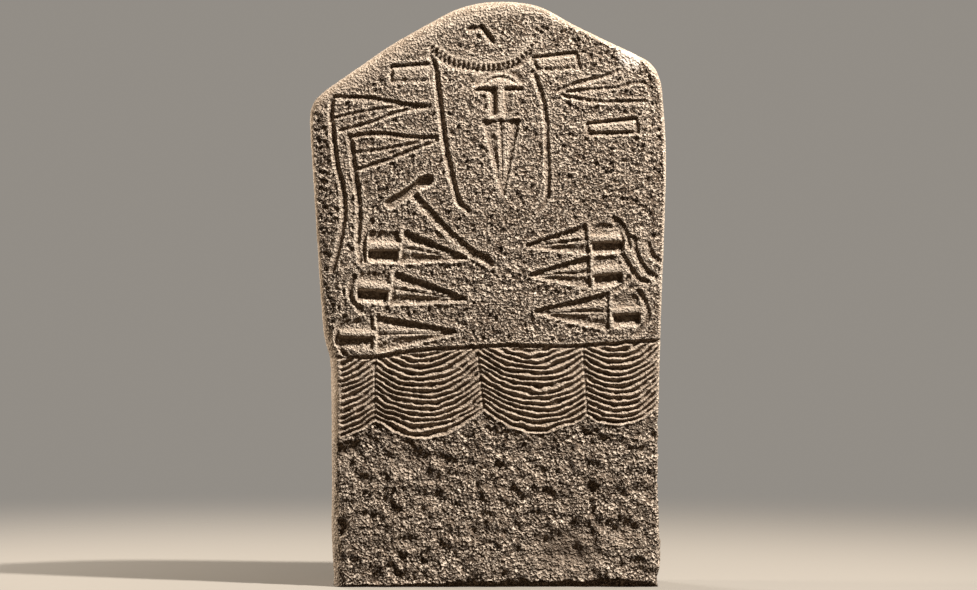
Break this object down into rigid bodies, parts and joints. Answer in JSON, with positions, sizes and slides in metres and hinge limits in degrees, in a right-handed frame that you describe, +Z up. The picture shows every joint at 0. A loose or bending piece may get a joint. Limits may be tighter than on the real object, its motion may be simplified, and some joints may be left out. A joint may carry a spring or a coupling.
{
  "type": "carved stone stele",
  "caption": "Upright slab of pecked stone with daggers, halberds, axes, a necklace, a cloak and a folded belt cut into its front.",
  "frame": {"origin": "centre of the box of the slab, on its flat underside", "axes": "+Z up along the height, the carved front faces -Y, +X to the right of a viewer who faces the front"},
  "size_m": [1.312, 0.34, 2.15],
  "materials": {
    "pecked_stone": "pecked, matt, warm grey-brown with paler worn edges"
  },
  "bodies": {
    "root": {"stele": "pecked_stone"}
  },
  "joints": []
}
